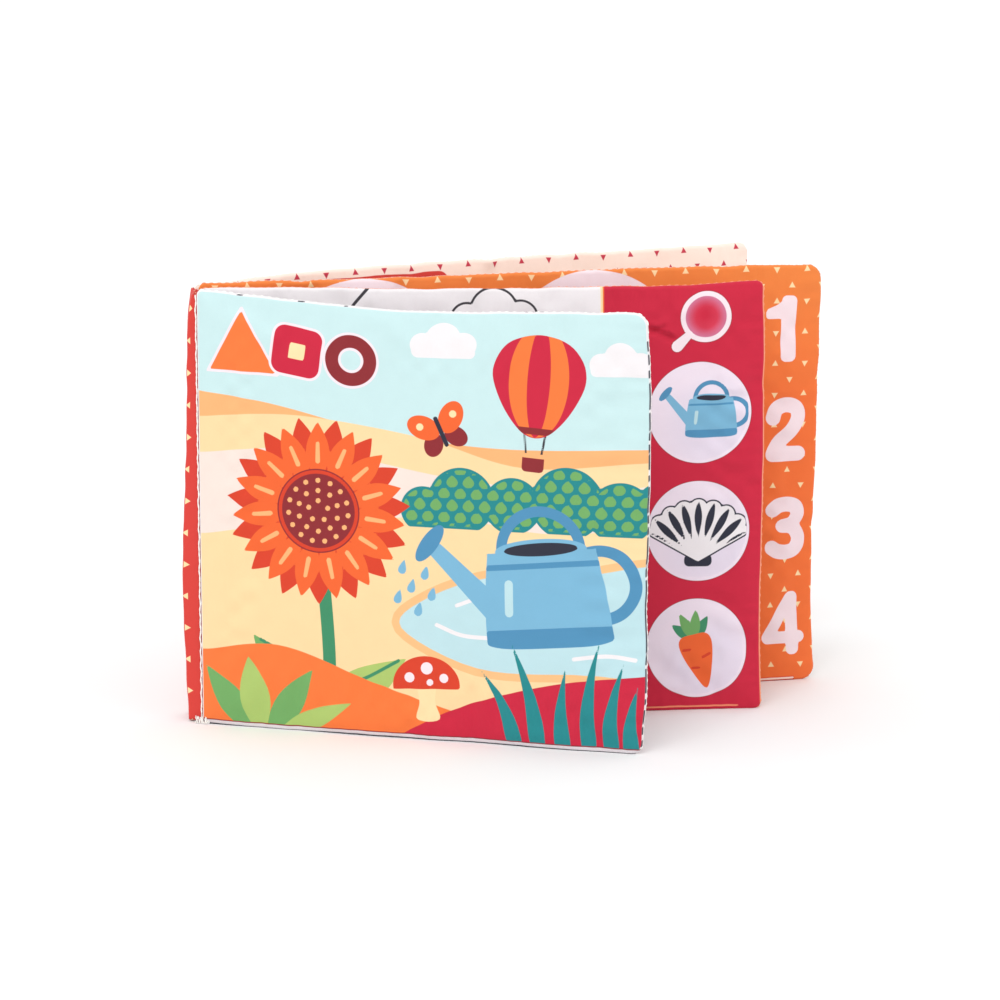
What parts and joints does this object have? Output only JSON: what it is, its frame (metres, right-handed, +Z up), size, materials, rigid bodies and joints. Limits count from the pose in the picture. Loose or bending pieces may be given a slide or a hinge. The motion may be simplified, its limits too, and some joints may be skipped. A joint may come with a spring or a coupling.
{
  "type": "water drawing book",
  "caption": "Soft padded cloth book for drawing with water, standing fanned open on its lower edges, with stepped leaves hinged to a scalloped spine.",
  "frame": {"origin": "on the floor, under the middle of the standing book's box", "axes": "+Z up, +X from the spine towards the free edges, and the front cover's outside faces -Y"},
  "size_m": [0.2524, 0.189, 0.17],
  "materials": {
    "sky_print": "printed woven cloth",
    "white_page": "white coated cloth that shows its colours when wet",
    "crimson_print": "printed woven cloth",
    "orange_print": "printed woven cloth",
    "peach_print": "printed woven cloth",
    "red_print": "printed woven cloth",
    "wadding": "soft fibre filling",
    "thread": "sewing thread"
  },
  "bodies": {
    "front_cover": {"front_cover_front_cloth": "sky_print", "front_cover_back_cloth": "white_page", "front_cover_wadding": "wadding", "front_cover_edge_seam": "thread", "front_cover_hinge_seam": "thread"},
    "second_leaf": {"second_leaf_front_cloth": "crimson_print", "second_leaf_back_cloth": "crimson_print", "second_leaf_wadding": "wadding", "second_leaf_edge_seam": "thread", "second_leaf_hinge_seam": "thread", "spine_panel_front": "red_print"},
    "third_leaf": {"third_leaf_front_cloth": "orange_print", "third_leaf_back_cloth": "orange_print", "third_leaf_wadding": "wadding", "third_leaf_edge_seam": "thread", "third_leaf_hinge_seam": "thread", "spine_panel_middle": "red_print"},
    "back_cover": {"back_cover_front_cloth": "peach_print", "back_cover_back_cloth": "red_print", "back_cover_wadding": "wadding", "back_cover_edge_seam": "thread", "back_cover_hinge_seam": "thread", "spine_panel_back": "red_print"}
  },
  "joints": [
    {"name": "third_leaf_turn", "type": "hinge", "parent": "back_cover", "child": "third_leaf", "pos_m": [-0.12362, -0.03023, 0.085], "axis": [0, 0, -1], "range_deg": [-14.8, 55.2], "deforming": ["spine_panel_back"]},
    {"name": "second_leaf_turn", "type": "hinge", "parent": "third_leaf", "child": "second_leaf", "pos_m": [-0.12222, -0.03606, 0.085], "axis": [0, 0, -1], "range_deg": [-9.2, 65.8], "deforming": ["spine_panel_middle"]},
    {"name": "front_cover_turn", "type": "hinge", "parent": "second_leaf", "child": "front_cover", "pos_m": [-0.12177, -0.04204, 0.085], "axis": [0, 0, -1], "range_deg": [-19.9, 160.1], "deforming": ["spine_panel_front"]}
  ]
}
